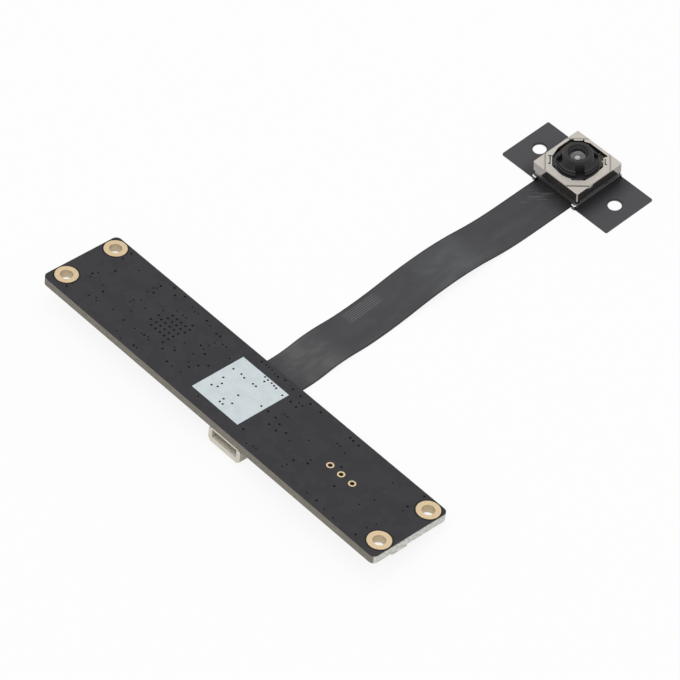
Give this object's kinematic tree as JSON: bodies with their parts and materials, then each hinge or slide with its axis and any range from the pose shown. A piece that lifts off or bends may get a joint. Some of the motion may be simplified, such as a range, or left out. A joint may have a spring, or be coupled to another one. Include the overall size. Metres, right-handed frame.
{
  "type": "camera module",
  "caption": "Autofocus camera module: long circuit board with mounting holes, joined by a flat black ribbon to a sensor head on an eared plate, with a lens that slides to focus.",
  "frame": {"origin": "where the optical axis meets the underside of the sensor plate", "axes": "+Z along the optical axis out of the lens, +Y from the board to the sensor head, +X along the board towards its three header holes"},
  "size_m": [0.0802, 0.089, 0.0066],
  "materials": {
    "board_laminate": "dark solder mask over laminate with tan cut edges",
    "gold_plating": "pale gold plating",
    "white_print": "matte white board print",
    "ivory_plastic": "ivory moulded plastic",
    "tin_plating": "tin-plated terminals",
    "ferrite": "matte moulded ferrite",
    "chip_mould": "matte black moulding compound",
    "crystal_ceramic": "brown ceramic",
    "crystal_metal": "satin metal lid",
    "capacitor_ceramic": "tan ceramic",
    "resistor_ceramic": "black glazed ceramic",
    "connector_plastic": "black moulded plastic",
    "steel_sheet": "satin steel sheet",
    "ribbon_film": "black satin cover film",
    "plate_black": "black finished metal plate",
    "base_plastic": "black moulded plastic",
    "shield_metal": "finely grained nickel-silver sheet",
    "solder": "bright solder",
    "spring_copper": "bright copper alloy",
    "coil_wire": "enamelled copper wire",
    "magnet_nickel": "nickel-plated magnet",
    "carrier_plastic": "matte black plastic",
    "barrel_plastic": "satin black plastic",
    "lens_plastic": "clear coated lens",
    "filter_glass": "coated filter glass",
    "sensor_silicon": "polished silicon die"
  },
  "bodies": {
    "module": {"circuit_board": "board_laminate", "mounting_hole_rings": "gold_plating", "header_hole_rings": "gold_plating", "white_print_square": "white_print", "cable_socket_housing": "ivory_plastic", "cable_socket_contacts": "tin_plating", "cable_socket_tabs": "tin_plating", "power_inductors": "ferrite", "inductor_terminals": "tin_plating", "processor_chip": "chip_mould", "processor_lands": "tin_plating", "flash_chip": "chip_mould", "flash_chip_leads": "tin_plating", "voltage_regulators": "chip_mould", "regulator_leads": "tin_plating", "crystal_base": "crystal_ceramic", "crystal_lid": "crystal_metal", "capacitor_bodies": "capacitor_ceramic", "capacitor_end_caps": "tin_plating", "resistor_bodies": "resistor_ceramic", "resistor_end_caps": "tin_plating", "ribbon_socket": "connector_plastic", "ribbon_plug": "connector_plastic", "ribbon_socket_contacts": "gold_plating", "plug_backing_plate": "steel_sheet", "ribbon_cable": "ribbon_film", "sensor_plate": "plate_black", "sensor_frame": "base_plastic", "infrared_filter": "filter_glass", "image_sensor": "sensor_silicon", "sensor_capacitors": "capacitor_ceramic", "actuator_base": "base_plastic", "actuator_shield": "shield_metal", "base_solder_joints": "solder", "upper_leaf_spring": "spring_copper", "lower_leaf_springs": "spring_copper", "corner_magnets": "magnet_nickel", "spring_spacer": "base_plastic"},
    "lens_group": {"lens_carrier": "carrier_plastic", "voice_coil": "coil_wire", "lens_barrel": "barrel_plastic", "front_lens_element": "lens_plastic", "second_lens_element": "lens_plastic", "third_lens_element": "lens_plastic", "rear_lens_element": "lens_plastic", "lens_retaining_ring": "base_plastic"}
  },
  "joints": [
    {"name": "focus_slide", "type": "slide", "parent": "module", "child": "lens_group", "axis": [0, 0, 1], "range_m": [0, 0.0003], "stiffness_N_per_m": 60, "deforming": ["upper_leaf_spring", "lower_leaf_springs"]}
  ]
}
